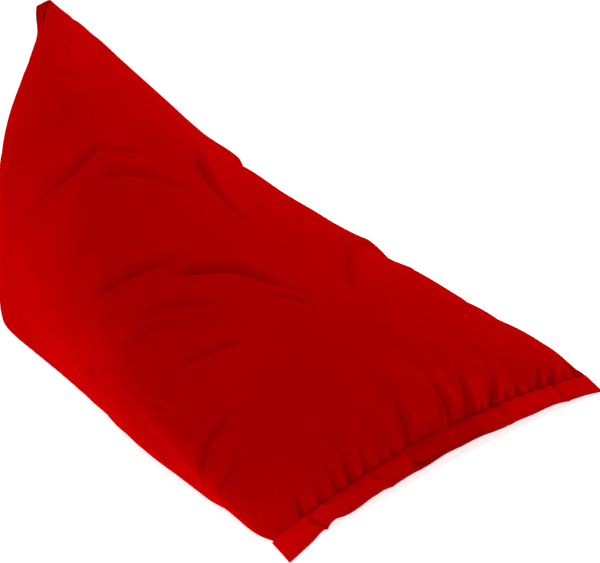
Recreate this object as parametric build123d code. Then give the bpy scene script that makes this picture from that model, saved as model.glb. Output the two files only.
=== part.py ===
from build123d import *
import math
import os

# Bean bag lounger: a fabric sleeve sewn flat across the front and upright at the back.
# Millimetres, +Z up, the sitter faces -Y, left is -X. The floor is z = 0.

# Runs along the floor from the front seam to the back seam, one station after another
roll_run = 34.0
seat_front_run = 85.0
seat_run = 170.0
lap_run = 228.0
lumbar_run = 227.0
back_run = 195.0
shoulder_run = 145.0
tail_run = 90.0

# Half width, height and level of the widest point at each station
front_seam_half_width = 450.0
front_seam_level = 50.0
front_seam_thickness = 4.0
roll_half_width = 452.0
roll_height = 102.0
roll_level = 46.0
seat_front_half_width = 445.0
seat_front_height = 150.0
seat_front_level = 64.0
seat_half_width = 415.0
seat_height = 225.0
seat_level = 100.0
lap_half_width = 352.0
lap_height = 330.0
lap_level = 160.0
lumbar_half_width = 273.0
lumbar_height = 450.0
lumbar_level = 236.0
back_half_width = 208.0
back_height = 568.0
back_level = 330.0
shoulder_half_width = 140.0
shoulder_height = 656.0
shoulder_level = 428.0
back_seam_half_width = 18.0
back_seam_height = 708.0
back_seam_level = 458.0

back_lean = 13.4  # degrees, the back seam leans forward
belly_ratio = 1.9  # lower half of a section against its level, cut flat by the floor

# Cover, liner and filling
cover_thickness = 1.2
liner_thickness = 0.5
liner_clearance = 2.0
fill_clearance = 1.5
liner_nose_run = 8.0
liner_nose_half = 3.0
liner_nose_side = 10.0
liner_tail_gap = 12.0
liner_tail_half_width = 20.0

# Front hem: two layers that slope down from the seam, and the label on top
hem_width = 46.0
hem_layer = 1.2
hem_edge_level = 32.6
label_length = 195.0
label_offset = 18.0
label_thickness = 1.0
label_margin = 3.0
label_clearance = 0.3

# Back hem: two lips over the zip, held by hook-and-loop tape
lip_width = 46.0
lip_layer = 1.2
lip_foot = 14.0
lip_bend = 18.0
lip_clearance = 0.3
closure_width = 18.0
closure_thickness = 1.8
closure_gap = 0.4
closure_margin = 4.0
closure_end = 20.0

# Zips of the cover and of the liner
tape_width = 10.2
tape_thickness = 0.6
tape_overrun = 6.0
teeth_width = 1.8
teeth_thickness = 2.4
teeth_split = 1.2
stop_length = 3.0
stop_side = 0.6
slider_length = 11.0
slider_plate = 1.4
slider_half_width = 4.0
slider_wall = 1.0
slider_web = 0.6
slider_web_length = 3.0
slider_clearance = 0.3
slit_clearance = 0.4
zip_foot = 40.0
zip_head = 108.0
liner_zip_foot = 120.0
liner_zip_head = 170.0

# Pull of the cover zip, on a bail that stands on the slider
bail_width = 2.0
bail_length = 4.6
bail_height = 3.0
pin_radius = 0.6
pin_clearance = 0.1
pull_cheek = 1.2
pull_side_clearance = 0.3
pull_thickness = 1.2
pull_length = 22.0
pull_gap = 3.2

base_length = (
    roll_run + seat_front_run + seat_run + lap_run
    + lumbar_run + back_run + shoulder_run + tail_run
)
lean = math.radians(back_lean)
hem_slope = math.asin((front_seam_level - hem_edge_level) / hem_width)
hem_root = hem_layer * math.tan(hem_slope)
hem_reach = hem_width * math.cos(hem_slope) + hem_layer * math.sin(hem_slope)
lip_reach = lip_width * math.cos(lean) - lip_foot * math.sin(lean)
front_y = (hem_reach - base_length - lip_reach) / 2
back_y = front_y + base_length


def station_plane(run, setback=0.0):
    """Upright plane across the bag that leans more and more towards the back seam."""
    angle = lean * run / base_length
    foot = Vector(0, front_y + run, 0)
    backwards = Vector(0, math.cos(angle), math.sin(angle))
    return Plane(foot - backwards * setback, x_dir=(1, 0, 0), z_dir=-backwards)


def section(plane, half_width, level, height, drop):
    """Closed outline of four elliptical quarters round the widest level."""
    centre = (0, level)
    quarters = [
        EllipticalCenterArc(centre, half_width, height - level, start_angle=0, arc_size=90),
        EllipticalCenterArc(centre, half_width, height - level, start_angle=90, arc_size=90),
        EllipticalCenterArc(centre, half_width, drop, start_angle=180, arc_size=90),
        EllipticalCenterArc(centre, half_width, drop, start_angle=270, arc_size=90),
    ]
    return plane * make_face(quarters)


def middle_sections(inset):
    """Sections between the two seams, drawn in by the inset."""
    rows = [
        (roll_run, roll_half_width, roll_level, roll_height),
        (seat_front_run, seat_front_half_width, seat_front_level, seat_front_height),
        (seat_run, seat_half_width, seat_level, seat_height),
        (lap_run, lap_half_width, lap_level, lap_height),
        (lumbar_run, lumbar_half_width, lumbar_level, lumbar_height),
        (back_run, back_half_width, back_level, back_height),
        (shoulder_run, shoulder_half_width, shoulder_level, shoulder_height),
    ]
    sections = []
    run = 0.0
    for step, half_width, level, height in rows:
        run = run + step
        plane = station_plane(run)
        drop = level * belly_ratio - inset
        sections.append(section(plane, half_width - inset, level, height - inset, drop))
    return sections


def sleeve_form(inset, end_wall):
    """Inside or outside of the sleeve, seam to seam."""
    half_lens = front_seam_thickness / 2 - inset
    front = section(
        station_plane(end_wall),
        front_seam_half_width - inset,
        front_seam_level,
        front_seam_level + half_lens,
        half_lens,
    )
    back = section(
        station_plane(base_length, end_wall),
        back_seam_half_width - inset,
        back_seam_level,
        back_seam_height - inset,
        back_seam_level * belly_ratio - inset,
    )
    return loft([front, *middle_sections(inset), back])


def inner_form(inset, layer, tail_setback):
    """Bag inside the sleeve: a thin nose near the front seam and a flat tail behind."""
    nose_half = liner_nose_half - layer
    nose = section(
        station_plane(liner_nose_run + layer),
        front_seam_half_width - inset - liner_nose_side,
        front_seam_level,
        front_seam_level + nose_half,
        nose_half,
    )
    tail = section(
        station_plane(base_length, tail_setback),
        liner_tail_half_width - layer,
        back_seam_level,
        back_seam_height - inset - liner_tail_gap,
        back_seam_level * belly_ratio - inset,
    )
    return loft([nose, *middle_sections(inset), tail])


def above(shape, level):
    """The part of a shape that lies above a level."""
    size = 2 * (base_length + front_seam_half_width + back_seam_height)
    return shape & Pos(0, 0, level + size / 2) * Box(size, size, size)


def slab(shape, low, high):
    """The part of a shape between two levels."""
    size = 2 * (base_length + front_seam_half_width + back_seam_height)
    return shape & Pos(0, 0, (low + high) / 2) * Box(size, size, high - low)


def block(x_low, x_high, y_low, y_high, z_low, z_high):
    """Box between two corners."""
    centre = Pos((x_low + x_high) / 2, (y_low + y_high) / 2, (z_low + z_high) / 2)
    return centre * Box(x_high - x_low, y_high - y_low, z_high - z_low)


def zip_slit(foot, head, wall):
    """Slot in the end wall that leaves room for the slider."""
    half = slider_half_width + slit_clearance
    return block(-half, half, foot, head, -2 * wall, wall)


def zip_pieces(foot, head, wall):
    """Tapes, teeth and end stops of a closed zip, local Z pointing out of the bag."""
    middle = -wall - tape_thickness / 2
    tooth_low = teeth_split / 2
    tooth_high = tooth_low + teeth_width
    tape = block(
        tooth_high, tooth_high + tape_width,
        foot - tape_overrun, head + tape_overrun,
        -wall - tape_thickness, -wall,
    )
    teeth = block(
        tooth_low, tooth_high,
        foot + stop_length, head - stop_length,
        middle - teeth_thickness / 2, middle + teeth_thickness / 2,
    )
    stop_half = teeth_thickness / 2 + stop_side
    low_stop = block(-tooth_high, tooth_high, foot, foot + stop_length, middle - stop_half, middle + stop_half)
    high_stop = block(-tooth_high, tooth_high, head - stop_length, head, middle - stop_half, middle + stop_half)
    return tape, teeth, low_stop, high_stop


def zip_slider(top, wall):
    """Two plates with turned-in walls, joined by a web that runs between the rows of teeth."""
    middle = -wall - tape_thickness / 2
    inner = teeth_thickness / 2 + slider_clearance
    outer = inner + slider_plate
    low = top - slider_length
    lip = tape_thickness / 2 + slider_clearance
    half = slider_half_width
    body = block(-half, half, low, top, middle + inner, middle + outer)
    body += block(-half, half, low, top, middle - outer, middle - inner)
    body += block(-slider_web / 2, slider_web / 2, top - slider_web_length, top, middle - inner, middle + inner)
    for side in (-1, 1):
        wall_low = min(side * half, side * (half - slider_wall))
        wall_high = wall_low + slider_wall
        body += block(wall_low, wall_high, low, top, middle + lip, middle + inner)
        body += block(wall_low, wall_high, low, top, middle - inner, middle - lip)
    return body


def lip_profile(root, throat):
    """Strip that slants in from the edge of the end wall and then runs straight back."""
    points = [
        (root - lip_layer, lip_clearance),
        (throat, lip_bend),
        (throat, lip_width),
        (throat + lip_layer, lip_width),
        (throat + lip_layer, lip_bend),
        (root, lip_clearance),
    ]
    return make_face(Polyline(*points, close=True))


# Cover and what it holds
outer_form = sleeve_form(0.0, 0.0)
inside_form = sleeve_form(cover_thickness, cover_thickness)
seam_plane = Plane(
    Vector(0, back_y, 0),
    x_dir=(-1, 0, 0),
    z_dir=(0, math.cos(lean), math.sin(lean)),
)
zip_top = back_seam_height - zip_head
cover_base_panel = slab(outer_form, 0.0, cover_thickness)
cover_upper_panel = above(outer_form, cover_thickness) - inside_form
cover_upper_panel -= seam_plane * zip_slit(zip_foot, zip_top, cover_thickness)

liner_inset = cover_thickness + liner_clearance
liner_floor = cover_thickness + liner_thickness
liner_end = liner_tail_gap + liner_thickness
liner_outside = above(inner_form(liner_inset, 0.0, liner_tail_gap), cover_thickness)
liner_hollow = above(inner_form(liner_inset + liner_thickness, liner_thickness, liner_end), liner_floor)
liner_plane = seam_plane * Plane(Vector(0, 0, -liner_tail_gap))
liner_zip_top = back_seam_height - liner_zip_head
liner_bag = liner_outside - liner_hollow
liner_bag -= liner_plane * zip_slit(liner_zip_foot, liner_zip_top, liner_thickness)

slider_rise = teeth_thickness / 2 + slider_clearance + slider_plate
fill_layer = liner_thickness + fill_clearance
fill_end = liner_end + tape_thickness / 2 + slider_rise + fill_clearance
bead_fill = above(inner_form(liner_inset + fill_layer, fill_layer, fill_end), liner_floor)

# Front hem and label, in a frame that slopes down from the front seam
hem_plane = Plane(
    Vector(0, front_y, front_seam_level),
    x_dir=(1, 0, 0),
    z_dir=(0, -math.sin(hem_slope), math.cos(hem_slope)),
)
hem_half = front_seam_half_width
front_hem_upper = hem_plane * block(-hem_half, hem_half, -hem_width, -hem_root, 0, hem_layer)
front_hem_lower = hem_plane * block(-hem_half, hem_half, -hem_width, -hem_root, -hem_layer, 0)
label_low = hem_layer + label_clearance
label_root = hem_root + label_margin
label_tab = hem_plane * block(
    label_offset - label_length / 2, label_offset + label_length / 2,
    -hem_width + label_margin, -label_root,
    label_low, label_low + label_thickness,
)

# Back lips with their closing tapes
lip_throat = closure_thickness + closure_gap / 2
lip_face = lip_profile(back_seam_half_width, lip_throat)
lip_length = back_seam_height - lip_foot
lip_local = extrude(Plane.XZ * lip_face, amount=-lip_length)
lip_local = Pos(0, lip_foot, 0) * lip_local
closure_high = lip_width - closure_margin
closure_strip = block(
    closure_gap / 2, lip_throat,
    lip_foot + closure_end, back_seam_height - closure_end,
    closure_high - closure_width, closure_high,
)
back_lip_left = seam_plane * lip_local
back_lip_right = mirror(back_lip_left, about=Plane.YZ)
hook_tape = seam_plane * closure_strip
loop_tape = mirror(hook_tape, about=Plane.YZ)

# Cover zip
tape, teeth, low_stop, high_stop = zip_pieces(zip_foot, zip_top, cover_thickness)
zip_tape_left = seam_plane * tape
zip_tape_right = mirror(zip_tape_left, about=Plane.YZ)
zip_teeth_left = seam_plane * teeth
zip_teeth_right = mirror(zip_teeth_left, about=Plane.YZ)
zip_bottom_stop = seam_plane * low_stop
zip_top_stop = seam_plane * high_stop
slider_top = zip_top - stop_length - slider_clearance
slider = zip_slider(slider_top, cover_thickness)
slider_face = slider_rise - cover_thickness - tape_thickness / 2
bail_low = slider_top - slider_length / 2 - bail_length / 2
pin_y = slider_top - slider_length / 2
pin_z = slider_face + bail_height / 2
slider += block(
    -bail_width / 2, bail_width / 2,
    bail_low, bail_low + bail_length,
    slider_face, slider_face + bail_height,
)
pin_hole = Pos(0, pin_y, pin_z) * Rot(0, 90, 0) * Cylinder(pin_radius + pin_clearance, 2 * bail_width)
slider -= pin_hole
zip_slider_body = seam_plane * slider

# Pull: a pin through the bail, two cheeks and a tab that hangs down over the zip
cheek_in = bail_width / 2 + pull_side_clearance
cheek_out = cheek_in + pull_cheek
pull = Pos(0, pin_y, pin_z) * Rot(0, 90, 0) * Cylinder(pin_radius, 2 * cheek_out)
for side in (-1, 1):
    cheek_low = min(side * cheek_in, side * cheek_out)
    pull += block(
        cheek_low, cheek_low + pull_cheek,
        pin_y - pull_length, pin_y + pull_thickness / 2,
        pin_z - pull_thickness / 2, pin_z + pull_thickness / 2,
    )
pull += block(
    -cheek_out, cheek_out,
    pin_y - pull_length, pin_y - pull_gap,
    pin_z - pull_thickness / 2, pin_z + pull_thickness / 2,
)
zip_pull = seam_plane * pull

# Liner zip, with a slider that has no pull
tape, teeth, low_stop, high_stop = zip_pieces(liner_zip_foot, liner_zip_top, liner_thickness)
liner_zip_tape_left = liner_plane * tape
liner_zip_tape_right = mirror(liner_zip_tape_left, about=Plane.YZ)
liner_zip_teeth_left = liner_plane * teeth
liner_zip_teeth_right = mirror(liner_zip_teeth_left, about=Plane.YZ)
liner_zip_bottom_stop = liner_plane * low_stop
liner_zip_top_stop = liner_plane * high_stop
liner_slider_top = liner_zip_top - stop_length - slider_clearance
liner_zip_slider = liner_plane * zip_slider(liner_slider_top, liner_thickness)

nodes = {
    "cover_upper_panel": cover_upper_panel,
    "cover_base_panel": cover_base_panel,
    "front_hem_upper": front_hem_upper,
    "front_hem_lower": front_hem_lower,
    "label_tab": label_tab,
    "back_lip_left": back_lip_left,
    "back_lip_right": back_lip_right,
    "hook_tape": hook_tape,
    "loop_tape": loop_tape,
    "zip_tape_left": zip_tape_left,
    "zip_tape_right": zip_tape_right,
    "zip_teeth_left": zip_teeth_left,
    "zip_teeth_right": zip_teeth_right,
    "zip_bottom_stop": zip_bottom_stop,
    "zip_top_stop": zip_top_stop,
    "zip_slider": zip_slider_body,
    "zip_pull": zip_pull,
    "liner_bag": liner_bag,
    "liner_zip_tape_left": liner_zip_tape_left,
    "liner_zip_tape_right": liner_zip_tape_right,
    "liner_zip_teeth_left": liner_zip_teeth_left,
    "liner_zip_teeth_right": liner_zip_teeth_right,
    "liner_zip_bottom_stop": liner_zip_bottom_stop,
    "liner_zip_top_stop": liner_zip_top_stop,
    "liner_zip_slider": liner_zip_slider,
    "bead_fill": bead_fill,
}
os.makedirs("parts", exist_ok=True)
for name, shape in nodes.items():
    export_step(shape, f"parts/{name}.step")
    box = shape.bounding_box()
    print(name, len(shape.solids()), round(shape.volume), box.min, box.max)
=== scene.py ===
import math

import bpy
import numpy as np
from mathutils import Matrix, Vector


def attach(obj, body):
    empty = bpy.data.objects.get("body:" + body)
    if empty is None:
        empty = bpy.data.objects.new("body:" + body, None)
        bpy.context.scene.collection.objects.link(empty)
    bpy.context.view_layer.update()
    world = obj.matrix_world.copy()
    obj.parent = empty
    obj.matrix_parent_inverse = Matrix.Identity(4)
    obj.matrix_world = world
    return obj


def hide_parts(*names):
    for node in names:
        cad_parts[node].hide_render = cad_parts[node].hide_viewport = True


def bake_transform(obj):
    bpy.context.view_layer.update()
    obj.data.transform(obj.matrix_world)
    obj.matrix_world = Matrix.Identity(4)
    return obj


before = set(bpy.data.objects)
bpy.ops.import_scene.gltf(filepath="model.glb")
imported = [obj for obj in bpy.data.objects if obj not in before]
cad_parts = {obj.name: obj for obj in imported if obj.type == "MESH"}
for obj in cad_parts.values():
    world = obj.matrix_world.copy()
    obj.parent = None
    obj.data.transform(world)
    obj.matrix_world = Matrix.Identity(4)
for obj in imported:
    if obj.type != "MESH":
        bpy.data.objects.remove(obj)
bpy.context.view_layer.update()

# The sleeve's stations, as in the part's source, in metres: run from the front seam,
# half width, height and level of the widest point
FRONT_Y = -0.586234
BACK_Y = 0.587766
RUN = np.cumsum([0.0, 0.034, 0.085, 0.170, 0.228, 0.227, 0.195, 0.145, 0.090])
HALF = np.array([0.450, 0.452, 0.445, 0.415, 0.352, 0.273, 0.208, 0.140, 0.018])
HEIGHT = np.array([0.052, 0.102, 0.150, 0.225, 0.330, 0.450, 0.568, 0.656, 0.708])
LEVEL = np.array([0.050, 0.046, 0.064, 0.100, 0.160, 0.236, 0.330, 0.428, 0.458])
DROP = LEVEL * 1.9
DROP[0] = 0.002
LEAN = math.radians(13.4)
LENGTH = RUN[-1]

# The corners of the front hang lower and further forward than the middle of the seam
CORNER_PULL = 0.026
CORNER_DROP = 0.025
SEAM_LEVEL = 0.050
HEM_WIDTH = 0.046
HEM_SLOPE = math.radians(28)
LABEL_LENGTH = 0.195
LABEL_X = 0.018
LABEL_LEFT, LABEL_RIGHT = LABEL_X - LABEL_LENGTH / 2, LABEL_X + LABEL_LENGTH / 2

# Thickness of the cover's cloth, and how far the lowest cloth is kept off the floor
CLOTH_THICK = 0.0011
FLOOR_GAP = 0.0005

# The back seam: up along the seam, and backwards out of it
SEAM_UP = np.array([0.0, -math.sin(LEAN), math.cos(LEAN)])
SEAM_OUT = np.array([0.0, math.cos(LEAN), math.sin(LEAN)])
SEAM_FOOT = np.array([0.0, BACK_Y, 0.0])

# Ends of the two zips, up along the back seam
ZIP_FOOT, ZIP_HEAD = 0.040, 0.600
LINER_ZIP_FOOT, LINER_ZIP_HEAD = 0.120, 0.538


# Form of the bag


def natural(values, t):
    """Natural cubic through rows of values at 0, 1, 2, ..."""
    n = len(values)
    rows = values.reshape(n, -1)
    a = np.zeros((n, n))
    rhs = np.zeros_like(rows)
    a[0, 0] = a[-1, -1] = 1
    for i in range(1, n - 1):
        a[i, i - 1 : i + 2] = 1, 4, 1
        rhs[i] = 6 * (rows[i + 1] - 2 * rows[i] + rows[i - 1])
    bend = np.linalg.solve(a, rhs)
    k = np.clip(t.astype(int), 0, n - 2)
    f = (t - k)[:, None]
    g = 1 - f
    out = g * rows[k] + f * rows[k + 1]
    out += ((g**3 - g) * bend[k] + (f**3 - f) * bend[k + 1]) / 6
    return out.reshape((len(t),) + values.shape[1:])


def smooth(x, low, high):
    """0 before low, 1 after high, with soft ends."""
    f = np.clip((x - low) / (high - low), 0, 1)
    return f * f * (3 - 2 * f)


def pull_corners(p):
    """The front corners are drawn forward and down to the floor."""
    q = p.copy()
    side = np.clip(np.abs(q[..., 0]) / HALF[0], 0, 1) ** 2
    near = np.clip(1 - (q[..., 1] - FRONT_Y) / 0.19, 0, 1) ** 1.5
    q[..., 1] -= CORNER_PULL * side * near
    q[..., 2] -= CORNER_DROP * side * near * np.clip(q[..., 2] / SEAM_LEVEL, 0, 1)
    return q


def bag_form(rows, around, inset=0.0, first=0.0, last=1.0):
    """Closed rings of points from the front seam to the back seam, evenly spaced round each ring."""
    angle = np.linspace(-math.pi / 2, 1.5 * math.pi, 1441)
    s, c = np.sin(angle), np.cos(angle)
    stations = np.zeros((len(RUN), len(angle), 3))
    for i, run in enumerate(RUN):
        up = np.where(s > 0, (HEIGHT[i] - LEVEL[i]) * s, DROP[i] * s)
        up = LEVEL[i] + up * max(0.02, 1 - inset / max(HEIGHT[i] - LEVEL[i], 0.02))
        lean = LEAN * run / LENGTH
        stations[i, :, 0] = max(HALF[i] - inset, 0.004) * c
        stations[i, :, 1] = FRONT_Y + run - up * math.sin(lean)
        stations[i, :, 2] = up * math.cos(lean)
    w = np.linspace(0, 1, rows)
    want = LENGTH * (first + (last - first) * (w - 0.5 * np.sin(2 * math.pi * w) / (2 * math.pi)))
    fine = np.linspace(0, len(RUN) - 1, 4000)
    t = np.interp(want, natural(RUN[:, None], fine)[:, 0], fine)
    rings = pull_corners(natural(stations, t))
    under = np.minimum(rings[..., 2], 0)
    rings[..., 1] += under * np.tan(LEAN * want / LENGTH)[:, None]
    rings[..., 2] = np.maximum(rings[..., 2], inset * 0.3)
    out = np.zeros((rows, around, 3))
    for i, ring in enumerate(rings):
        step = np.linalg.norm(np.diff(ring, axis=0), axis=1)
        length = np.concatenate([[0], np.cumsum(step)])
        even = np.linspace(0, length[-1], around, endpoint=False)
        for k in range(3):
            out[i, :, k] = np.interp(even, length, ring[:, k])
    return out


def grid_normals(p):
    """Outward normals of a grid that is closed round each row."""
    round_it = np.roll(p, -1, 1) - np.roll(p, 1, 1)
    along = np.gradient(p, axis=0)
    n = np.cross(along, round_it)
    return n / np.maximum(np.linalg.norm(n, axis=2, keepdims=True), 1e-12)


def smooth_line(points, count):
    """Catmull-Rom line through a few points."""
    p = np.array(points, float)
    p = np.vstack([2 * p[0] - p[1], p, 2 * p[-1] - p[-2]])
    t = np.linspace(0, len(p) - 3 - 1e-9, count)
    k = t.astype(int)
    f = (t - k)[:, None]
    a, b, c, d = p[k], p[k + 1], p[k + 2], p[k + 3]
    return 0.5 * (2 * b + (c - a) * f + (2 * a - 5 * b + 4 * c - d) * f**2 + (3 * b - a - 3 * c + d) * f**3)


def add_fold(shift, p, n, points, sharp, spread, depth, turn=1, taper=(0.3, 0.4)):
    """A crease along a line on the cloth: a soft roll on one side that falls steeply into the line."""
    line = smooth_line(points, 60)
    reach = 2.5 * spread
    low, high = line.min(0) - reach, line.max(0) + reach
    near = np.where(((p > low) & (p < high)).all(-1))
    if not len(near[0]):
        return
    v, normal = p[near], n[near]
    gap = v[:, None, :] - line[None]
    k = np.argmin((gap**2).sum(2), 1)
    tangent = np.gradient(line, axis=0)
    tangent /= np.linalg.norm(tangent, axis=1, keepdims=True)
    d = gap[np.arange(len(v)), k]
    side = np.cross(normal, tangent[k])
    across = turn * (d * side).sum(1)
    past = np.abs((d * tangent[k]).sum(1))
    f = k / (len(line) - 1)
    fade = smooth(f, -0.03, taper[0]) * smooth(1 - f, -0.03, taper[1])
    fade = fade * np.exp(-((past / (0.5 * spread)) ** 2))
    # Keeps a crease off the cloth on the far side of a thin edge
    fade = fade * np.exp(-(((d * normal).sum(1) / (0.7 * spread)) ** 2))
    over, under = np.maximum(across, 0), np.maximum(-across, 0)
    roll = smooth(across, -0.6 * sharp, 2.0 * sharp) * np.exp(-((over / spread) ** 1.5))
    line_dip = 0.40 * np.exp(-np.abs(across / (0.9 * sharp)) ** 1.5)
    crest = 0.25 * np.exp(-(((across + 1.7 * sharp) / (0.8 * sharp)) ** 2))
    hollow = 0.25 * np.exp(-((under / (0.8 * spread)) ** 2)) * (1 - smooth(across, -sharp, sharp))
    shift[near] += (depth * fade * (roll + crest - line_dip - hollow))[:, None] * normal


# Creases that the photograph shows: points on the bag, sharpness, spread, depth, side of the roll
# and, where it isn't the usual one, the taper at both ends
FOLDS = [
    ([(-0.222, 0.275, 0.320), (-0.208, 0.225, 0.372), (-0.175, 0.172, 0.430), (-0.125, 0.161, 0.459),
      (-0.075, 0.150, 0.468)], 0.0085, 0.045, 0.0090, 1),
    ([(-0.160, 0.120, 0.415), (-0.135, 0.105, 0.424), (-0.098, 0.079, 0.422), (-0.068, 0.041, 0.407),
      (-0.036, -0.007, 0.381)], 0.010, 0.040, 0.0060, 1),
    ([(0.215, 0.108, 0.335), (0.185, 0.098, 0.386), (0.155, 0.092, 0.410), (0.120, 0.086, 0.424)],
     0.006, 0.036, 0.0062, -1, (0.0, 0.7)),
    ([(0.108, 0.081, 0.420), (0.066, 0.070, 0.424), (0.040, 0.044, 0.412), (0.026, 0.008, 0.391),
      (0.018, -0.041, 0.363), (0.023, -0.098, 0.331), (0.045, -0.150, 0.305)],
     0.0075, 0.036, 0.0095, 1, (0.22, 0.75)),
    ([(-0.310, -0.010, 0.238), (-0.282, -0.030, 0.272), (-0.253, -0.051, 0.291), (-0.193, -0.085, 0.307),
      (-0.126, -0.124, 0.306)], 0.0085, 0.045, 0.0095, 1),
    ([(-0.190, -0.118, 0.294), (-0.149, -0.142, 0.293), (-0.120, -0.160, 0.290), (-0.089, -0.182, 0.283),
      (-0.057, -0.219, 0.267), (-0.025, -0.260, 0.248), (0.010, -0.304, 0.227), (0.027, -0.335, 0.213)],
     0.009, 0.048, 0.0090, 1, (0.12, 0.75)),
    ([(-0.084, -0.244, 0.253), (-0.042, -0.276, 0.240), (-0.010, -0.317, 0.221)], 0.007, 0.022, 0.0030, 1),
    ([(-0.345, -0.035, 0.160), (-0.339, -0.060, 0.190), (-0.320, -0.110, 0.226)], 0.006, 0.028, 0.0040, 1),
    ([(-0.338, -0.253, 0.187), (-0.281, -0.277, 0.203), (-0.218, -0.296, 0.212), (-0.184, -0.314, 0.210)],
     0.009, 0.045, 0.0060, 1),
    ([(-0.390, -0.229, 0.142), (-0.386, -0.277, 0.149), (-0.389, -0.314, 0.142)], 0.005, 0.018, 0.0032, 1),
    ([(-0.399, -0.242, 0.100), (-0.402, -0.285, 0.130), (-0.403, -0.324, 0.129)], 0.005, 0.018, 0.0030, -1),
    ([(-0.446, -0.430, 0.045), (-0.432, -0.425, 0.080), (-0.395, -0.405, 0.120), (-0.340, -0.405, 0.140),
      (-0.270, -0.420, 0.148)], 0.006, 0.030, 0.0055, 1),
    ([(-0.447, -0.480, 0.045), (-0.436, -0.478, 0.072), (-0.405, -0.475, 0.096), (-0.375, -0.480, 0.105)],
     0.0045, 0.022, 0.0048, 1),
    ([(-0.305, -0.125, 0.236), (-0.251, -0.158, 0.257), (-0.200, -0.197, 0.257), (-0.160, -0.225, 0.252)],
     0.008, 0.034, 0.0040, 1),
    ([(-0.345, -0.135, 0.195), (-0.310, -0.155, 0.227), (-0.270, -0.190, 0.238), (-0.225, -0.225, 0.238)],
     0.007, 0.030, 0.0042, 1),
    ([(-0.125, 0.160, 0.459), (-0.089, 0.130, 0.457), (-0.055, 0.095, 0.445)], 0.006, 0.026, 0.0040, 1),
    ([(0.320, -0.189, 0.183), (0.295, -0.189, 0.218), (0.265, -0.194, 0.243), (0.231, -0.201, 0.254),
      (0.195, -0.213, 0.253)], 0.006, 0.036, 0.0095, -1, (0.0, 0.7)),
    ([(0.246, -0.204, 0.241), (0.202, -0.216, 0.248), (0.154, -0.245, 0.245), (0.111, -0.286, 0.231),
      (0.100, -0.315, 0.220)], 0.0065, 0.030, 0.0070, 1, (0.3, 0.5)),
    ([(-0.037, 0.348, 0.626), (-0.038, 0.329, 0.613), (-0.045, 0.311, 0.597)], 0.003, 0.012, 0.0022, 1),
    ([(-0.100, 0.330, 0.560), (-0.070, 0.300, 0.570), (-0.050, 0.262, 0.560)], 0.006, 0.024, 0.0025, 1),
]

# Creases on the sides that the photograph doesn't show, of the same kind
FOLDS += [
    ([(0.300, 0.010, 0.230), (0.262, 0.060, 0.300), (0.205, 0.105, 0.370), (0.120, 0.150, 0.450)],
     0.007, 0.040, 0.0060, -1),
    ([(0.385, -0.200, 0.100), (0.375, -0.235, 0.150), (0.340, -0.265, 0.190)], 0.006, 0.032, 0.0060, -1),
    ([(0.240, 0.230, 0.230), (0.215, 0.250, 0.330), (0.165, 0.270, 0.430)], 0.007, 0.038, 0.0070, 1),
    ([(-0.205, 0.330, 0.200), (-0.190, 0.345, 0.320), (-0.160, 0.350, 0.420)], 0.007, 0.036, 0.0045, -1),
    ([(0.120, 0.420, 0.250), (0.105, 0.440, 0.360), (0.085, 0.430, 0.470)], 0.006, 0.030, 0.0055, 1),
    ([(-0.115, 0.440, 0.150), (-0.110, 0.450, 0.270), (-0.095, 0.440, 0.390)], 0.006, 0.030, 0.0050, -1),
    ([(0.425, -0.420, 0.060), (0.410, -0.425, 0.100), (0.370, -0.420, 0.130), (0.310, -0.425, 0.143)],
     0.006, 0.028, 0.0020, -1),
    ([(0.330, 0.080, 0.060), (0.315, 0.050, 0.130), (0.300, 0.000, 0.190)], 0.006, 0.032, 0.0050, 1),
    ([(0.260, 0.330, 0.080), (0.235, 0.320, 0.170), (0.215, 0.300, 0.260)], 0.006, 0.032, 0.0050, -1),
]

# Gathers at the front seam: where on it, where the far end is across and along from it, depth
GATHERS = [
    (-0.420, 0.006, 0.030, 0.0030), (-0.363, 0.020, 0.055, 0.0100), (-0.316, 0.016, 0.040, 0.0050),
    (-0.268, -0.004, 0.055, 0.0075), (-0.236, 0.028, 0.075, 0.0085), (-0.192, 0.012, 0.050, 0.0060),
    (-0.149, 0.001, 0.026, 0.0040), (-0.118, 0.006, 0.030, 0.0035), (-0.066, 0.050, 0.120, 0.0095),
    (-0.040, 0.003, 0.028, 0.0035), (-0.008, -0.004, 0.032, 0.0035), (0.028, 0.016, 0.055, 0.0050),
    (0.054, 0.026, 0.125, 0.0090), (0.104, 0.060, 0.115, 0.0085), (0.138, 0.010, 0.032, 0.0030),
    (0.176, 0.054, 0.070, 0.0100), (0.218, 0.010, 0.030, 0.0040), (0.253, 0.008, 0.032, 0.0045),
    (0.285, 0.012, 0.026, 0.0030), (0.312, 0.032, 0.050, 0.0060), (0.350, 0.050, 0.052, 0.0080),
    (0.392, 0.014, 0.032, 0.0040), (0.428, -0.008, 0.050, 0.0040),
]


def seam_point(x):
    """The front seam line, which hangs down towards its corners."""
    side = (np.abs(x) / HALF[0]) ** 2
    y = FRONT_Y - CORNER_PULL * side
    z = SEAM_LEVEL - CORNER_DROP * side
    return np.stack([x + 0 * y, y, z], -1)


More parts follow.
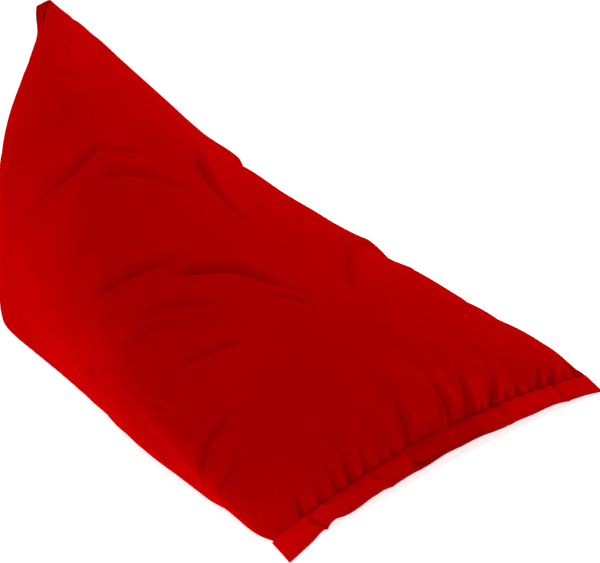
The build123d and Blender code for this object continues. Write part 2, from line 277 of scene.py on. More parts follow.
# Slow swells of the filling: place, reach and height; and how far the sides draw in at the floor
SWELLS = [
    ((-0.150, 0.400, 0.330), (0.120, 0.160, 0.170), 0.0130),
    ((0.430, -0.545, 0.090), (0.120, 0.080, 0.080), 0.0070),
    ((0.200, 0.045, 0.365), (0.075, 0.045, 0.070), 0.0055),
    ((0.240, -0.060, 0.310), (0.100, 0.080, 0.100), 0.0080),
    ((0.340, -0.300, 0.200), (0.100, 0.090, 0.100), 0.0055),
    ((-0.440, -0.400, 0.060), (0.080, 0.160, 0.080), -0.0060),
    ((0.080, 0.300, 0.580), (0.080, 0.120, 0.090), -0.0090),
    ((0.130, 0.140, 0.450), (0.070, 0.060, 0.060), 0.0050),
    ((0.285, -0.150, 0.250), (0.080, 0.050, 0.080), 0.0060),
    ((0.000, -0.562, 0.066), (0.380, 0.034, 0.046), 0.0130),
]
UNDERCUT = 0.008
CORNER_UNDERCUT = 0.009
RIPPLE_HEIGHT = 0.0018

# Common scale of the creases, and of the gathers with their sharpness and spread
FOLD_GAIN = 1.45
GATHER_GAIN = 1.6
GATHER_SHARP = 0.0062
GATHER_SPREAD = 0.012
GATHER_SPREAD_PER_LENGTH = 0.13
UNDERSIDE_SHARE = 0.6

# Limit and share of the wrinkles that the cloth simulation adds, and the creases it starts from
WRINKLE_CAP = 0.008
WRINKLE_SHARE = 0.9
TRIAL_CREASES = 0.3


def crease_cloth(p, share=1.0):
    """The form with its creases, gathers and slow swells. share scales the creases."""
    n = grid_normals(p)
    shift = np.zeros_like(p)
    for line, sharp, spread, depth, *rest in FOLDS:
        add_fold(shift, p, n, line, sharp, spread, FOLD_GAIN * share * depth, *rest)
    top = p[:, p.shape[1] // 4 : 3 * p.shape[1] // 4]
    bottom = np.roll(p, p.shape[1] // 4, 1)[:, : p.shape[1] // 2]
    for x, drift, length, depth in GATHERS:
        for face, strength in ((top, 1.0), (bottom, UNDERSIDE_SHARE)):
            first = np.argmin(np.abs(face[0, :, 0] - x))
            run = np.cumsum(np.r_[0, np.linalg.norm(np.diff(face[:, first], axis=0), axis=1)])
            line = []
            for part in (0.0, 0.35, 0.7, 1.0):
                row = np.argmin(np.abs(run - part * length))
                col = np.argmin(np.abs(face[row, :, 0] - (x + drift * part**1.5)))
                line.append(face[row, col])
            if np.ptp(np.array(line), 0).max() > 0.01:
                spread = GATHER_SPREAD + GATHER_SPREAD_PER_LENGTH * length
                height = GATHER_GAIN * depth * strength
                add_fold(shift, p, n, line, GATHER_SHARP, spread, height, -1, (0.0, 0.9))
    x, y, z = p[..., 0], p[..., 1], p[..., 2]
    swell = np.sin(9 * x + 4 * y + 1.0) * np.sin(7 * y - 5 * z + 0.4)
    swell += 0.6 * np.sin(17 * x - 11 * y + 2.0) * np.sin(13 * y + 9 * z)
    swell += 0.35 * np.sin(31 * x + 23 * y + 19 * z) * np.sin(27 * y - 21 * x + 0.7)
    loose = smooth(y, FRONT_Y, FRONT_Y + 0.10) * smooth(-y, -BACK_Y + 0.06, -BACK_Y + 0.22)
    loose = loose * smooth(z, 0.0, 0.05)
    shift += (RIPPLE_HEIGHT * swell * loose)[..., None] * n
    for place, size, height in SWELLS:
        d = (p - np.array(place)) / np.array(size)
        shift += (height * np.exp(-(d**2).sum(-1)))[..., None] * n
    q = p + shift
    tuck = UNDERCUT * smooth(y, -0.46, -0.28) + CORNER_UNDERCUT * smooth(-y, 0.42, 0.53)
    tuck = tuck * np.clip(1 - z / 0.09, 0, 1) ** 2
    q[..., 0] -= tuck * np.clip(x / 0.05, -1, 1)
    return q


# Meshes


def new_piece(name, verts, faces, uv=None, material=None):
    """Mesh piece in the row frame, shaded smooth. uv is one place per vertex, in metres."""
    mesh = bpy.data.meshes.new(name)
    places = [tuple(v) for v in np.asarray(verts, float)]
    mesh.from_pydata(places, [], [tuple(int(i) for i in f) for f in faces])
    mesh.validate()
    if uv is not None:
        layer = mesh.uv_layers.new(name="cloth")
        corner = np.zeros(len(mesh.loops), int)
        mesh.loops.foreach_get("vertex_index", corner)
        layer.data.foreach_set("uv", np.asarray(uv, float)[corner].ravel())
    mesh.polygons.foreach_set("use_smooth", [True] * len(mesh.polygons))
    mesh.update()
    piece = bpy.data.objects.new(name, mesh)
    bpy.context.collection.objects.link(piece)
    if material:
        mesh.materials.append(material)
    return piece


def grid_faces(rows, cols, wrap=False, flip=False):
    """Quads between the points of a grid, closed round each row if wrap is set."""
    faces = []
    for i in range(rows - 1):
        for j in range(cols if wrap else cols - 1):
            k = (j + 1) % cols
            quad = (i * cols + j, i * cols + k, (i + 1) * cols + k, (i + 1) * cols + j)
            faces.append(quad[::-1] if flip else quad)
    return faces


def sheet_piece(name, p, uv, material, thick, flip=False, offset=0.0):
    """Open grid of points with the thickness of its cloth."""
    rows, cols = p.shape[:2]
    piece = new_piece(name, p.reshape(-1, 3), grid_faces(rows, cols, flip=flip), uv.reshape(-1, 2), material)
    solid = piece.modifiers.new("thickness", "SOLIDIFY")
    solid.thickness = thick
    solid.offset = offset
    return piece


def bar_faces(base, rings):
    """Faces of a closed six-sided bar, whose rings of vertices begin at base."""
    faces = []
    for ring in range(base, base + 6 * (rings - 1), 6):
        for a in range(6):
            b = (a + 1) % 6
            faces.append((ring + a, ring + b, ring + 6 + b, ring + 6 + a))
    faces.append(tuple(base + a for a in range(5, -1, -1)))
    faces.append(tuple(base + 6 * (rings - 1) + a for a in range(6)))
    return faces


def thread_run(verts, faces, start, end, up, radius):
    """One stitch: a short rounded bar that dips into the cloth at both ends."""
    start, end, up = np.asarray(start), np.asarray(end), np.asarray(up)
    along = end - start
    side = np.cross(up, along)
    side = side / np.linalg.norm(side)
    base = len(verts)
    for f, rise in ((0.0, -0.5), (0.15, 0.5), (0.5, 0.8), (0.85, 0.5), (1.0, -0.5)):
        middle = start + along * f + up * rise * radius
        for a in range(6):
            turn = a * math.pi / 3
            verts.append(middle + radius * (math.cos(turn) * side + 0.8 * math.sin(turn) * up))
    faces += bar_faces(base, 5)


def stitch_line(verts, faces, line, normals, pitch=0.0034, gap=0.0007, radius=0.00032):
    """Stitches along a line of points."""
    step = np.linalg.norm(np.diff(line, axis=0), axis=1)
    length = np.concatenate([[0], np.cumsum(step)])

    def at(values, q):
        return np.array([np.interp(q, length, values[:, k]) for k in range(3)])

    q = 0.001
    while q + pitch < length[-1]:
        up = at(normals, q + pitch / 2)
        ends = at(line, q), at(line, q + pitch - gap)
        thread_run(verts, faces, *ends, up / np.linalg.norm(up), radius)
        q += pitch


# Cloth


def soften(d, width):
    """Gaussian mean over a grid that is closed round each row."""
    reach = int(2.5 * width)
    weight = np.exp(-((np.arange(-reach, reach + 1) / width) ** 2) / 2)
    weight /= weight.sum()
    padded = np.pad(d, ((reach, reach), (0, 0), (0, 0)), mode="edge")
    rows = sum(w * padded[i : i + len(d)] for i, w in enumerate(weight))
    return sum(w * np.roll(rows, reach - i, 1) for i, w in enumerate(weight))


def cubic_steps(values, places, wrap):
    """Catmull-Rom along the first axis of a grid, at places given in steps of it."""
    k = np.floor(places).astype(int)
    f = (places - k).reshape((-1,) + (1,) * (values.ndim - 1))
    near = np.stack([k - 1, k, k + 1, k + 2])
    a, b, c, d = values[near % len(values) if wrap else np.clip(near, 0, len(values) - 1)]
    return 0.5 * (2 * b + (c - a) * f + (2 * a - 5 * b + 4 * c - d) * f**2 + (3 * b - a - 3 * c + d) * f**3)


def settle_cloth(rows, around):
    """Wrinkles of the filled cover: it is blown up from inside, and what is finer than its form is kept."""
    sim_rows, sim_around, frames = 140, 210, 16
    form = crease_cloth(bag_form(sim_rows, sim_around), TRIAL_CREASES)
    form[..., 2] = np.maximum(form[..., 2], FLOOR_GAP)
    faces = grid_faces(sim_rows, sim_around, wrap=True, flip=True)
    piece = new_piece("cloth_trial", form.reshape(-1, 3), faces)
    held = form[..., 2] < 0.006
    held[:2] = True
    held[-3:] = True
    group = piece.vertex_groups.new(name="held")
    group.add([int(i) for i in np.where(held.ravel())[0]], 1.0, "REPLACE")
    cloth = piece.modifiers.new("cloth", "CLOTH")
    settings = cloth.settings
    settings.quality = 5
    settings.mass = 0.25
    settings.tension_stiffness = 30
    settings.compression_stiffness = 10
    settings.shear_stiffness = 8
    settings.bending_stiffness = 1.5
    settings.tension_damping = settings.compression_damping = settings.shear_damping = 8
    settings.air_damping = 3
    settings.use_pressure = True
    settings.uniform_pressure_force = 4
    settings.shrink_min = -0.012
    settings.vertex_group_mass = "held"
    settings.effector_weights.gravity = 0
    cloth.collision_settings.use_collision = False
    cloth.point_cache.frame_start = 1
    cloth.point_cache.frame_end = frames
    scene = bpy.context.scene
    for number in range(1, frames + 1):
        scene.frame_set(number)
    blown = piece.evaluated_get(bpy.context.evaluated_depsgraph_get()).data
    place = np.zeros(len(blown.vertices) * 3)
    blown.vertices.foreach_get("co", place)
    d = place.reshape(sim_rows, sim_around, 3) - form
    scene.frame_set(1)
    bpy.data.objects.remove(piece)
    d = d - soften(d, 10)
    size = np.linalg.norm(d, axis=2, keepdims=True)
    d = d * WRINKLE_CAP / np.maximum(size, WRINKLE_CAP)
    # The front corners are short of cloth and would buckle
    corner = smooth(np.abs(form[..., 0]), 0.22, 0.34) * smooth(-form[..., 1], 0.42, 0.50)
    d = soften(d * (1 - 0.9 * corner[..., None]), 0.8)
    d = cubic_steps(d, np.linspace(0, sim_rows - 1, rows), False)
    return cubic_steps(d.swapaxes(0, 1), np.arange(around) * sim_around / around, True).swapaxes(0, 1)


# Materials


class Nodes:
    """Short hand for building a material's nodes."""

    def __init__(self, name):
        self.material = bpy.data.materials.new(name)
        self.material.use_nodes = True
        self.tree = self.material.node_tree
        self.shader = self.tree.nodes["Principled BSDF"]

    def add(self, kind, **settings):
        """A node with its inputs and settings."""
        node = self.tree.nodes.new(kind)
        for key, value in settings.items():
            if key in node.inputs:
                node.inputs[key].default_value = value
            else:
                setattr(node, key, value)
        return node

    def link(self, a, b):
        """A link from one socket to another."""
        self.tree.links.new(a, b)

    def noise(self, **settings):
        """Noise over the piece's own space."""
        place = self.add("ShaderNodeTexCoord")
        node = self.add("ShaderNodeTexNoise", **settings)
        self.link(place.outputs["Object"], node.inputs["Vector"])
        return node.outputs["Fac"]

    def math(self, operation, a, b):
        """Sum, product or the like of two sockets or numbers."""
        node = self.add("ShaderNodeMath", operation=operation)
        for socket, value in zip(node.inputs, (a, b)):
            if isinstance(value, (int, float)):
                socket.default_value = value
            else:
                self.link(value, socket)
        return node.outputs[0]

    def ramp(self, factor, stops):
        """Colour that follows a factor."""
        node = self.add("ShaderNodeValToRGB")
        while len(node.color_ramp.elements) < len(stops):
            node.color_ramp.elements.new(0.5)
        for element, (place, colour) in zip(node.color_ramp.elements, stops):
            element.position = place
            element.color = (*colour, 1)
        self.link(factor, node.inputs[0])
        return node.outputs[0]

    def roughness(self, factor, limits):
        """Roughness that follows a factor between two limits."""
        spread = self.add("ShaderNodeMapRange")
        spread.inputs["To Min"].default_value, spread.inputs["To Max"].default_value = limits
        self.link(factor, spread.inputs["Value"])
        self.link(spread.outputs[0], self.shader.inputs["Roughness"])

    def bump(self, height, **settings):
        """Fine relief of the surface."""
        node = self.add("ShaderNodeBump", **settings)
        self.link(height, node.inputs["Height"])
        self.link(node.outputs[0], self.shader.inputs["Normal"])


def cloth_material(
    name, dark, light, pitch=0.0011, rough=(0.78, 0.92), sheen=0.45,
    tint=(1.0, 0.0, 0.0), weave=0.35, fleck=0.3,
):
    """Woven cloth: warp and weft from the piece's own cloth coordinates, uneven dye, soft sheen."""
    m = Nodes(name)
    uv = m.add("ShaderNodeUVMap", uv_map="cloth")
    waves = []
    for direction in ("X", "Y"):
        wave = m.add(
            "ShaderNodeTexWave", wave_type="BANDS", bands_direction=direction,
            Scale=0.314 / pitch, Distortion=0.6, Detail=1.0,
        )
        wave.inputs["Detail Scale"].default_value = 2.0
        m.link(uv.outputs[0], wave.inputs["Vector"])
        waves.append(wave.outputs["Fac"])
    threads = m.math("MAXIMUM", waves[0], waves[1])
    cloud = m.noise(Scale=5.0, Detail=4.0, Roughness=0.55)
    grain = m.noise(Scale=420.0, Detail=2.0, Roughness=0.6)
    mixed = m.math("ADD", m.math("MULTIPLY", cloud, 1 - fleck), m.math("MULTIPLY", grain, fleck * 0.7))
    mixed = m.math("ADD", mixed, m.math("MULTIPLY", threads, fleck * 0.3))
    colour = m.ramp(mixed, [(0.25, dark), (0.75, light)])
    m.link(colour, m.shader.inputs["Base Color"])
    m.roughness(mixed, rough)
    height = m.math("ADD", m.math("MULTIPLY", threads, weave), m.math("MULTIPLY", grain, 0.5))
    m.bump(height, Strength=0.35, Distance=0.0004)
    m.shader.inputs["Specular IOR Level"].default_value = 0.0
    m.shader.inputs["Sheen Weight"].default_value = sheen
    m.shader.inputs["Sheen Roughness"].default_value = 0.5
    m.shader.inputs["Sheen Tint"].default_value = (*tint, 1)
    return m.material


def solid_material(name, dark, light, rough, metal=0.0, grain=900.0, specular=0.3):
    """Moulded plastic or painted metal with a fine uneven surface."""
    m = Nodes(name)
    fine = m.noise(Scale=grain, Detail=3.0, Roughness=0.6)
    broad = m.noise(Scale=60.0, Detail=3.0, Roughness=0.5)
    mixed = m.math("ADD", m.math("MULTIPLY", broad, 0.65), m.math("MULTIPLY", fine, 0.35))
    m.link(m.ramp(mixed, [(0.3, dark), (0.7, light)]), m.shader.inputs["Base Color"])
    m.roughness(mixed, rough)
    m.bump(fine, Strength=0.3, Distance=0.00008)
    m.shader.inputs["Metallic"].default_value = metal
    m.shader.inputs["Specular IOR Level"].default_value = specular
    return m.material


def bead_material(name):
    """Loose white beads, a few millimetres across."""
    m = Nodes(name)
    place = m.add("ShaderNodeTexCoord")
    cells = m.add("ShaderNodeTexVoronoi", Scale=230.0)
    m.link(place.outputs["Object"], cells.inputs["Vector"])
    # Painted shade: each bead goes darker towards the edge of its cell, where the beads meet
    white, shade = (0.92, 0.92, 0.90), (0.66, 0.66, 0.64)
    m.link(m.ramp(cells.outputs["Distance"], [(0.2, white), (0.75, shade)]), m.shader.inputs["Base Color"])
    m.bump(cells.outputs["Distance"], Strength=0.9, Distance=0.0016, invert=True)
    m.shader.inputs["Roughness"].default_value = 0.7
    return m.material


cover_cloth = cloth_material("cover_cloth", (0.37, 0.0, 0.0002), (0.47, 0.0, 0.0005))
# Painted light: the hem's cloth is the cover's red made lighter, for the light that falls on the flat,
# up-facing hem
hem_cloth_painted_light = cloth_material("hem_cloth_painted_light", (0.41, 0.0, 0.0002), (0.63, 0.0, 0.0006))
# Painted shade: the lips' cloth is the cover's red made darker, for the shade on the back seam's flaps
lip_cloth_painted_shade = cloth_material("lip_cloth_painted_shade", (0.26, 0.0, 0.0002), (0.36, 0.0, 0.0005))
label_cloth = cloth_material(
    "label_cloth", (0.37, 0.0, 0.0002), (0.47, 0.0, 0.0005), pitch=0.0007, weave=0.5, rough=(0.66, 0.82)
)
tape_cloth = cloth_material(
    "tape_cloth", (0.28, 0.0006, 0.0006), (0.38, 0.0010, 0.0010), pitch=0.0009, weave=0.6
)
hook_cloth = cloth_material(
    "hook_cloth", (0.22, 0.0006, 0.0006), (0.34, 0.0010, 0.0010), pitch=0.0016, weave=1.0, fleck=0.6
)
thread = solid_material(
    "thread", (0.34, 0.0008, 0.0008), (0.50, 0.0016, 0.0016), rough=(0.55, 0.75), grain=2600.0, specular=0.1
)
coil_plastic = solid_material(
    "coil_plastic", (0.36, 0.0010, 0.0010), (0.48, 0.0020, 0.0020), rough=(0.4, 0.55), specular=0.08
)
painted_zinc = solid_material(
    "painted_zinc", (0.26, 0.0020, 0.0020), (0.38, 0.0040, 0.0040), rough=(0.28, 0.45), metal=0.35
)
liner_cloth = cloth_material(
    "liner_cloth", (0.70, 0.69, 0.66), (0.80, 0.79, 0.76), pitch=0.0015, tint=(1, 1, 1), sheen=0.05
)
white_coil = solid_material("white_coil", (0.78, 0.78, 0.76), (0.86, 0.86, 0.84), rough=(0.35, 0.5))
beads = bead_material("beads")

# Cover

ROWS, AROUND = 380, 700


def cover_mesh():
    """The sleeve as one surface, sewn shut at the front seam, with the zip's slit in its end wall."""
    plain = bag_form(ROWS, AROUND)
    form = crease_cloth(plain) + WRINKLE_SHARE * settle_cloth(ROWS, AROUND)
    form[..., 2] = np.maximum(form[..., 2], FLOOR_GAP)
    form[0] = plain[0]
    # Room for the label to stand up in front of the roll: over its length, the cloth stays behind
    # a limit that leans back from the seam, and bends softly where it meets it
    by_label = smooth(LABEL_LENGTH / 2 + 0.016 - np.abs(form[..., 0] - LABEL_X), 0.0, 0.014)
    over = np.maximum(form[..., 2] - SEAM_LEVEL, 0.0)
    limit = FRONT_Y - 0.0004 + np.minimum(0.12 * over, 0.005) - 0.03 * (1 - by_label)
    limit = np.where(form[..., 2] < SEAM_LEVEL - 0.004, -1.0, limit)
    past, ease = form[..., 1] - limit, np.minimum(0.4 * over, 0.008)
    form[..., 1] = limit + 0.5 * (past + np.hypot(past, ease))
    faces = grid_faces(ROWS, AROUND, wrap=True, flip=True)
    quarter, half = AROUND // 4, AROUND // 2
    for j in range(quarter):
        faces.append((j, j + 1, half - j - 1, half - j))
        a, b = (AROUND - j) % AROUND, AROUND - j - 1
        faces.append((b, a, half + j, half + j + 1))
    # End wall round the zip's slit
    last = (ROWS - 1) * AROUND
    ring = form[-1]
    up = (ring - SEAM_FOOT) @ SEAM_UP
    slit_up = np.clip(up, ZIP_FOOT, ZIP_HEAD)
    slit_x = np.clip(ring[:, 0], -0.0044, 0.0044)
    slit = SEAM_FOOT + slit_up[:, None] * SEAM_UP - 0.0004 * SEAM_OUT
    slit[:, 0] = slit_x
    for j in range(AROUND):
        k = (j + 1) % AROUND
        faces.append((last + AROUND + j, last + AROUND + k, last + k, last + j))
    verts = np.vstack([form.reshape(-1, 3), slit])
    # Cloth coordinates, measured round each ring from the top and along the top
    round_it = np.linalg.norm(np.diff(form, axis=1, append=form[:, :1]), axis=2)
    u = np.cumsum(round_it, 1) - round_it
    u -= u[:, half : half + 1]
    along = np.linalg.norm(np.diff(form[:, half], axis=0), axis=1)
    v = np.concatenate([[0], np.cumsum(along)])
    uv = np.stack([u, np.repeat(v[:, None], AROUND, 1)], -1).reshape(-1, 2)
    uv = np.vstack([uv, np.stack([slit_x, v[-1] + 0.02 + 0 * slit_x], -1)])
    return verts, faces, uv


verts, faces, uv = cover_mesh()
cover = new_piece("cover", verts, faces, uv, cover_cloth)
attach(cover, "bag")
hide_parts("cover_upper_panel", "cover_base_panel")

# Front hem, its stitching and the label

# Folds that cross the hem: place at the seam, lean, width and depth
HEM_FOLDS = [
    (-0.358, 0.016, 0.0050, 0.0120), (-0.334, 0.014, 0.016, -0.0095), (-0.380, 0.014, 0.014, -0.0040),
    (0.345, 0.006, 0.006, 0.0045), (0.178, 0.008, 0.007, 0.0040), (-0.190, 0.030, 0.008, 0.0040),
    (-0.215, 0.030, 0.012, -0.0025),
]

# Rows of stitching that draw the hem in, from the seam (0) to the outer edge (1)
HEM_ROWS = (0.78, 0.91)

# The way that stitches on the hem and the label face
HEM_FACING = [0.0, -0.4, 0.92]

# Where on the hem's width the label begins, and the share of it that it covers
LABEL_START, LABEL_SHARE = 0.07, 0.84


def hem_place(x, w, lift=0.0):
    """A point of the hem: x across, w from the seam (0) to the outer edge (1), lift off its middle."""
    q = seam_point(x)
    # The gathers of the seam run out over the hem
    wave = np.zeros_like(x)
    for place, _, _, depth in GATHERS:
        wave += depth * np.exp(-(((x - place + 0.012 * w) / 0.009) ** 2))
    ripple = 0.0012 * np.sin(23 * x + 0.6) + 0.0006 * np.sin(61 * x + 1.9) - 0.55 * wave * (1 - 0.95 * w)
    slope = HEM_SLOPE + 0.06 * np.sin(9 * x + 0.8) * w
    q[..., 1] -= 0.0005 + HEM_WIDTH * w * np.cos(slope)
    q[..., 2] -= HEM_WIDTH * w * np.sin(slope)
    # It stands up near its left end
    ripple = ripple + 0.007 * w * np.exp(-(((x + 0.345) / 0.05) ** 2))
    for row in HEM_ROWS:
        ripple = ripple - 0.0010 * np.exp(-(((w - row) / 0.03) ** 2))
    q[..., 2] += ripple * smooth(w, 0.0, 0.9) + lift
    for place, lean, width, depth in HEM_FOLDS:
        across = np.exp(-(((x - place - lean * w) / width) ** 2))
        q[..., 2] -= depth * smooth(w, 0.0, 0.3) * (1 - 0.6 * w * w) * across
    q[..., 1] += 0.5 * ripple * w
    q[..., 2] = np.maximum(q[..., 2], 0.0016 + lift)
    return q


def hem_layer(name, node, lift):
    """One of the two layers of the hem."""
    x, w = np.meshgrid(np.linspace(-HALF[0], HALF[0], 361), np.linspace(0, 1, 43), indexing="ij")
    p = hem_place(x, w, lift)
    uv = np.stack([x, w * HEM_WIDTH], -1)
    piece = sheet_piece(name, p, uv, hem_cloth_painted_light, CLOTH_THICK, flip=True)
    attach(piece, "bag")
    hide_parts(node)


hem_layer("hem_upper", "front_hem_upper", 0.0007)
hem_layer("hem_lower", "front_hem_lower", -0.0007)

verts, faces = [], []
along = np.linspace(-HALF[0] + 0.004, HALF[0] - 0.004, 600)
for share in (0.03, *HEM_ROWS):
    line = hem_place(along, np.full_like(along, share), 0.0014)
    stitch_line(verts, faces, line, np.tile(HEM_FACING, (len(along), 1)))
hem_stitches = new_piece("hem_stitches", verts, faces, None, thread)
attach(hem_stitches, "bag")


def label_place(x, w):
    """The label lies on the hem, and its lower left corner stands off a little."""
    q = hem_place(x, LABEL_START + LABEL_SHARE * w, 0.0023)
    corner = smooth(LABEL_X - x, 0.0, LABEL_LENGTH / 2) * smooth(w, 0.3, 1.0)
    q[..., 2] += 0.0040 * corner + 0.0036 * smooth(w, 0.3, 1.0)
    q[..., 1] -= 0.0010 * corner
    return q


x, w = np.meshgrid(np.linspace(LABEL_LEFT, LABEL_RIGHT, 101), np.linspace(0, 1, 15), indexing="ij")
uv = np.stack([x, w * 0.039], -1)
label = sheet_piece("label", label_place(x, w), uv, label_cloth, 0.0010, flip=True, offset=1.0)
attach(label, "label")
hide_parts("label_tab")

verts, faces = [], []
along = np.linspace(LABEL_LEFT + 0.004, LABEL_RIGHT - 0.004, 200)
line = label_place(along, np.full_like(along, 0.06)) + [0, 0, 0.0011]
stitch_line(verts, faces, line, np.tile(HEM_FACING, (len(along), 1)), pitch=0.0028)
label_stitches = new_piece("label_stitches", verts, faces, None, thread)
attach(label_stitches, "label")

# Back hem: two lips over the zip, with their closing tapes

# Ends of the lips up the seam, width, half the room between them, and how far their tops droop
LIP_FOOT, LIP_HEAD = 0.014, 0.707
LIP_WIDTH = 0.046
LIP_APART = 0.0026
LIP_DROOP = math.radians(39)


def end_half_width(up):
    """Half width of the bag's end, a narrow ellipse, at a height up the back seam."""
    above, below = (up - LEVEL[-1]) / (HEIGHT[-1] - LEVEL[-1]), (LEVEL[-1] - up) / DROP[-1]
    over = np.where(up > LEVEL[-1], above, below)
    return HALF[-1] * np.sqrt(np.maximum(1 - over**2, 0.0))


def lip_place(side, up, out, off=0.0):
    """A point of a lip: up the seam, out from it, off its middle surface and away from the other lip."""
    root = np.maximum(end_half_width(up), 0.0012)
    x = root + (LIP_APART - root) * smooth(out, 0.0, 0.019) + off
    sway = (0.0022 * np.sin(19 * up + 0.5) + 0.0012 * np.sin(47 * up)) * smooth(out, 0.012, LIP_WIDTH)
    droop = LIP_DROOP * smooth(up, 0.47, 0.69)
    bow = 0.018 * smooth(up, 0.45, 0.60) * (1 - smooth(up, 0.630, 0.700))
    sway = sway + bow * smooth(out, 0.017, 0.048)
    height = up - out * np.sin(droop)
    p = SEAM_FOOT + height[..., None] * SEAM_UP + (0.0004 + out * np.cos(droop))[..., None] * SEAM_OUT
    p[..., 0] = side * x + sway
    return p


for side, word in ((-1, "left"), (1, "right")):
    high, wide = np.linspace(LIP_FOOT, LIP_HEAD, 201), np.linspace(0, LIP_WIDTH, 17)
    up, out = np.meshgrid(high, wide, indexing="ij")
    p, uv = lip_place(side, up, out), np.stack([up, out], -1)
    lip = sheet_piece(f"lip_{word}", p, uv, lip_cloth_painted_shade, CLOTH_THICK, flip=side > 0)
    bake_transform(lip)
    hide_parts(f"back_lip_{word}")
    verts, faces = [], []
    high = np.linspace(LIP_FOOT + 0.004, LIP_HEAD - 0.004, 400)
    for place in (0.0215, 0.0445):
        line = lip_place(side, high, np.full_like(high, place), 0.0007)
        stitch_line(verts, faces, line, np.tile([side, 0.0, 0.0], (len(high), 1)))
    stitches = new_piece(f"lip_stitches_{word}", verts, faces, None, thread)
    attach(stitches, f"{word}_lip")
    node = "hook_tape" if side < 0 else "loop_tape"
    up, out = np.meshgrid(np.linspace(0.034, 0.688, 181), np.linspace(0.024, 0.042, 9), indexing="ij")
    p = lip_place(side, up, out, -0.0014)
    tape = sheet_piece(f"closure_{word}", p, np.stack([up, out], -1), hook_cloth, 0.0010, flip=side > 0)
    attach(tape, f"{word}_lip")
    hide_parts(node)

# Zips

# One tooth of a coil, as points away from the zip's middle line and out of its plane, and their pitch
TOOTH = [
    (0.0024, 0.0), (0.0017, 0.0010), (0.0008, 0.0011),
    (0.0005, 0.0), (0.0008, -0.0011), (0.0017, -0.0010),
]
TOOTH_PITCH = 0.0030


def on_seam(x, up, out):
    """A point by the back seam, from x across, up along it and out of the bag."""
    p = SEAM_FOOT + np.asarray(up)[..., None] * SEAM_UP + np.asarray(out)[..., None] * SEAM_OUT
    p[..., 0] = x
    return p


def zip_side(prefix, side, foot, head, out, cloth, plastic, slots):
    """Tape and coil teeth of one half of a closed zip."""
    word = "left" if side < 0 else "right"
    high, wide = np.linspace(foot - 0.006, head + 0.006, 141), np.linspace(0.0024, 0.0126, 9)
    up, x = np.meshgrid(high, wide, indexing="ij")
    rib = 0.00012 * np.sin(x / 0.0012 * math.pi)
    p, uv = on_seam(side * x, up, out + rib), np.stack([up, x], -1)
    tape = sheet_piece(f"{prefix}zip_tape_{word}_cloth", p, uv, cloth, 0.0005, flip=side > 0)
    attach(tape, "bag")
    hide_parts(f"{prefix}zip_tape_{word}")
    verts, faces = [], []
    q = foot + 0.0032 + (TOOTH_PITCH / 2 if side > 0 else 0)
    while q < head - 0.0040:
        base = len(verts)
        for lift in (-0.00055, -0.00035, 0.00035, 0.00055):
            shrink = 0.8 if abs(lift) > 0.0005 else 1.0
            for a, b in TOOTH:
                verts.append(on_seam(side * (0.0014 + (a - 0.0014) * shrink), q + lift, out + b * shrink))
        faces += bar_faces(base, 4)
        q += TOOTH_PITCH
    teeth = new_piece(f"{prefix}zip_coil_{word}", verts, faces, None, plastic)
    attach(teeth, "bag")
    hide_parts(f"{prefix}zip_teeth_{word}")


for side in (-1, 1):
    ends = ZIP_FOOT, ZIP_HEAD
    zip_side("", side, *ends, -0.0015, tape_cloth, coil_plastic, ("tape_fabric", "zip_plastic"))
    ends = LINER_ZIP_FOOT, LINER_ZIP_HEAD
    zip_side("liner_", side, *ends, -0.0128, liner_cloth, white_coil, ("liner_fabric", "liner_zip"))

for node, material in (
    ("zip_bottom_stop", coil_plastic),
    ("zip_top_stop", coil_plastic),
    ("zip_slider", painted_zinc),
    ("zip_pull", painted_zinc),
    ("liner_zip_bottom_stop", white_coil),
    ("liner_zip_top_stop", white_coil),
    ("liner_zip_slider", white_coil),
):
    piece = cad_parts[node]
    piece.data.materials.clear()
    piece.data.materials.append(material)
    bevel = piece.modifiers.new("edges", "BEVEL")
    bevel.width = 0.00025
    bevel.segments = 2
    bevel.limit_method = "ANGLE"

# Liner and filling, inside the cover


def inner_piece(name, inset, first, last, material):
    """A closed bag of the cover's form, drawn in by inset, from first to last of its length."""
    rows, around = 90, 120
    p = bag_form(rows, around, inset, first, last)
    faces = grid_faces(rows, around, wrap=True, flip=True)
    half = around // 2
    for base, turn in ((0, 1), ((rows - 1) * around, -1)):
        for j in range(half):
            quad = (base + j, base + j + 1, base + (around - j - 1) % around, base + (around - j) % around)
            # Where the ring closes, two of the four corners are one
            faces.append(tuple(dict.fromkeys(quad))[::turn])
    step = np.linalg.norm(np.diff(p, axis=1, append=p[:, :1]), axis=2)
    u = np.cumsum(step, 1)
    v = np.repeat(np.linspace(0, LENGTH, rows)[:, None], around, 1)
    return new_piece(name, p.reshape(-1, 3), faces, np.stack([u, v], -1).reshape(-1, 2), material)


liner = inner_piece("liner", 0.022, 0.035, 0.970, liner_cloth)
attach(liner, "bag")
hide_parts("liner_bag")

filling = inner_piece("filling", 0.030, 0.05, 0.95, beads)
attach(filling, "bag")
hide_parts("bead_fill")

# Floor, light and camera


def stage_floor():
    """White ground, bright enough to run into the white behind it."""
    m = Nodes("floor")
    cloud = m.noise(Scale=1.5, Detail=2.0)
    pale, paler = (0.90, 0.90, 0.90), (0.93, 0.93, 0.93)
    m.link(m.ramp(cloud, [(0.3, pale), (0.7, paler)]), m.shader.inputs["Base Color"])
    m.shader.inputs["Roughness"].default_value = 0.9
    m.shader.inputs["Specular IOR Level"].default_value = 0.1
    m.shader.inputs["Emission Color"].default_value = (1, 1, 1, 1)
    m.shader.inputs["Emission Strength"].default_value = 0.80
    size = 14
    corners = [(-size, -size, 0), (size, -size, 0), (size, size, 0), (-size, size, 0)]
    floor = new_piece("floor", corners, [(0, 1, 2, 3)], None, m.material)


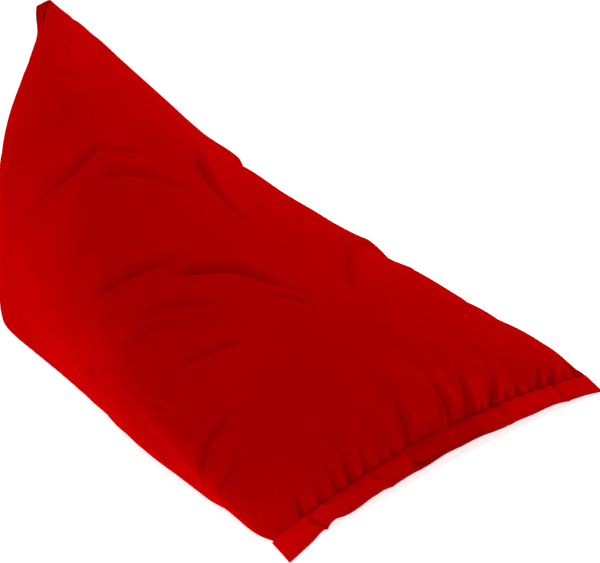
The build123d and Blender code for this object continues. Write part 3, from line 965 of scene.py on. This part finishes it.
def white_room(horizon, zenith):
    """A white room that is brighter near the floor than overhead."""
    world = bpy.data.worlds.new("studio")
    bpy.context.scene.world = world
    world.use_nodes = True
    sky = world.node_tree
    direction = sky.nodes.new("ShaderNodeTexCoord")
    split = sky.nodes.new("ShaderNodeSeparateXYZ")
    fall = sky.nodes.new("ShaderNodeValToRGB")
    fall.color_ramp.elements[0].color = (*horizon, 1)
    fall.color_ramp.elements[1].color = (*zenith, 1)
    sky.links.new(direction.outputs["Generated"], split.inputs[0])
    sky.links.new(split.outputs["Z"], fall.inputs[0])
    sky.links.new(fall.outputs[0], sky.nodes["Background"].inputs["Color"])
    sky.nodes["Background"].inputs["Strength"].default_value = 1.0


def toward(azimuth, elevation):
    """Direction from the bag, in degrees from the front and up from the floor."""
    a, e = math.radians(azimuth), math.radians(elevation)
    return np.array([math.sin(a) * math.cos(e), -math.cos(a) * math.cos(e), math.sin(e)])


def look_back(thing, away):
    """Turns a light or camera so that it looks against the given direction."""
    thing.rotation_euler = Vector(tuple(-away)).to_track_quat("-Z", "Y").to_euler()


def soft_light(name, azimuth, elevation, distance, size, power, target):
    """A round area light that shines on a target and isn't seen itself."""
    data = bpy.data.lights.new(name, "AREA")
    data.shape = "DISK"
    data.size = size
    data.energy = power
    light = bpy.data.objects.new(name, data)
    away = toward(azimuth, elevation)
    light.location = tuple(np.array(target) + distance * away)
    light.visible_camera = False
    look_back(light, away)
    bpy.context.collection.objects.link(light)


stage_floor()
white_room(horizon=(0.32, 0.32, 0.32), zenith=(0.22, 0.22, 0.22))

# Lights fitted to the brightness in the photograph. The last two are small and close
MIDDLE = (-0.05, -0.15, 0.25)
soft_light("left", -94, 9, 3.6, 1.4, 24, MIDDLE)
soft_light("right", 74, 30, 3.2, 1.8, 37, MIDDLE)
soft_light("back", -150, 42, 3.2, 1.6, 12, MIDDLE)
soft_light("top", 160, 86, 1.7, 1.0, 11.5, (0.05, 0.10, 0.25))
soft_light("corner", -50, 38, 0.32, 0.15, 0.42, (-0.45, -0.64, 0.02))
soft_light("edge", 78, 34, 1.0, 0.5, 2.0, (0.36, -0.42, 0.12))

# The camera as it was fitted to the photograph
SENSOR_WIDTH = 36
FOCAL_PIXELS, PICTURE_WIDTH = 1983.8, 600
CAMERA_AWAY = toward(-47.45, 22.09)
CAMERA_TARGET = np.array([-0.07216, -0.3287, 0.30261])
CAMERA_DISTANCE = 3.62726

camera_data = bpy.data.cameras.new("camera")
camera_data.sensor_width = SENSOR_WIDTH
camera_data.sensor_fit = "HORIZONTAL"
camera_data.lens = SENSOR_WIDTH * FOCAL_PIXELS / PICTURE_WIDTH
camera = bpy.data.objects.new("camera", camera_data)
bpy.context.collection.objects.link(camera)
camera.location = tuple(CAMERA_TARGET + CAMERA_DISTANCE * CAMERA_AWAY)
look_back(camera, CAMERA_AWAY)
bpy.context.scene.camera = camera
bpy.context.scene.view_settings.view_transform = "Standard"
